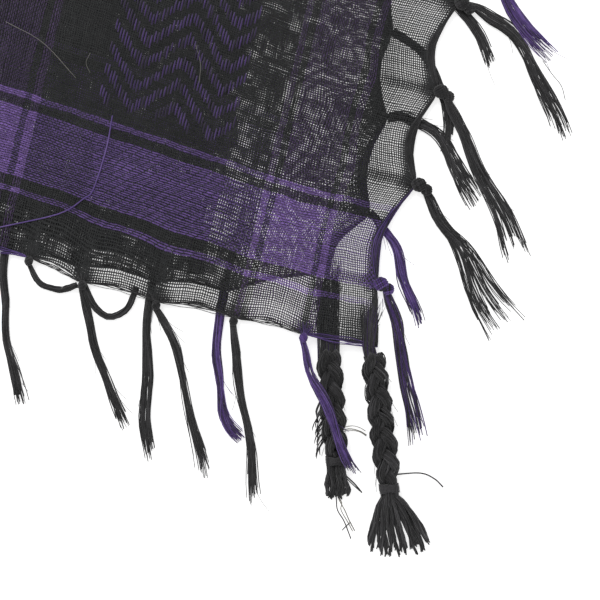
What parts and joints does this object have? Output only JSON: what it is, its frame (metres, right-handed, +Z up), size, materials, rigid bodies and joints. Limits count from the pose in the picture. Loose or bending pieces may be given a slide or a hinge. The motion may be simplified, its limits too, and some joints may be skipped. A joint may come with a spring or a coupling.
{
  "type": "folded square fringed scarf",
  "caption": "Square open-weave cotton scarf folded in quarters and lying flat, with knotted tassels along its free edges and plaited corners.",
  "frame": {"origin": "middle of the folded square, on the surface that it lies on", "axes": "+Z up out of the surface, +X along the hem towards the tasselled side edge, +Y away from the tasselled hem towards the fold"},
  "size_m": [0.5727, 0.6029, 0.0092],
  "materials": {
    "striped_gauze": "matt open plain weave in charcoal and purple",
    "hidden_gauze": "matt open plain weave, the layers below",
    "cotton_yarn": "soft twisted cotton, matt"
  },
  "bodies": {
    "root": {"top_panel": "striped_gauze", "second_panel": "striped_gauze", "under_fold": "hidden_gauze", "top_hem_fringe": "cotton_yarn", "top_side_fringe": "cotton_yarn", "second_hem_fringe": "cotton_yarn", "second_side_fringe": "cotton_yarn", "front_plait": "cotton_yarn", "back_plait": "cotton_yarn", "front_brush": "cotton_yarn", "back_brush": "cotton_yarn"}
  },
  "joints": []
}
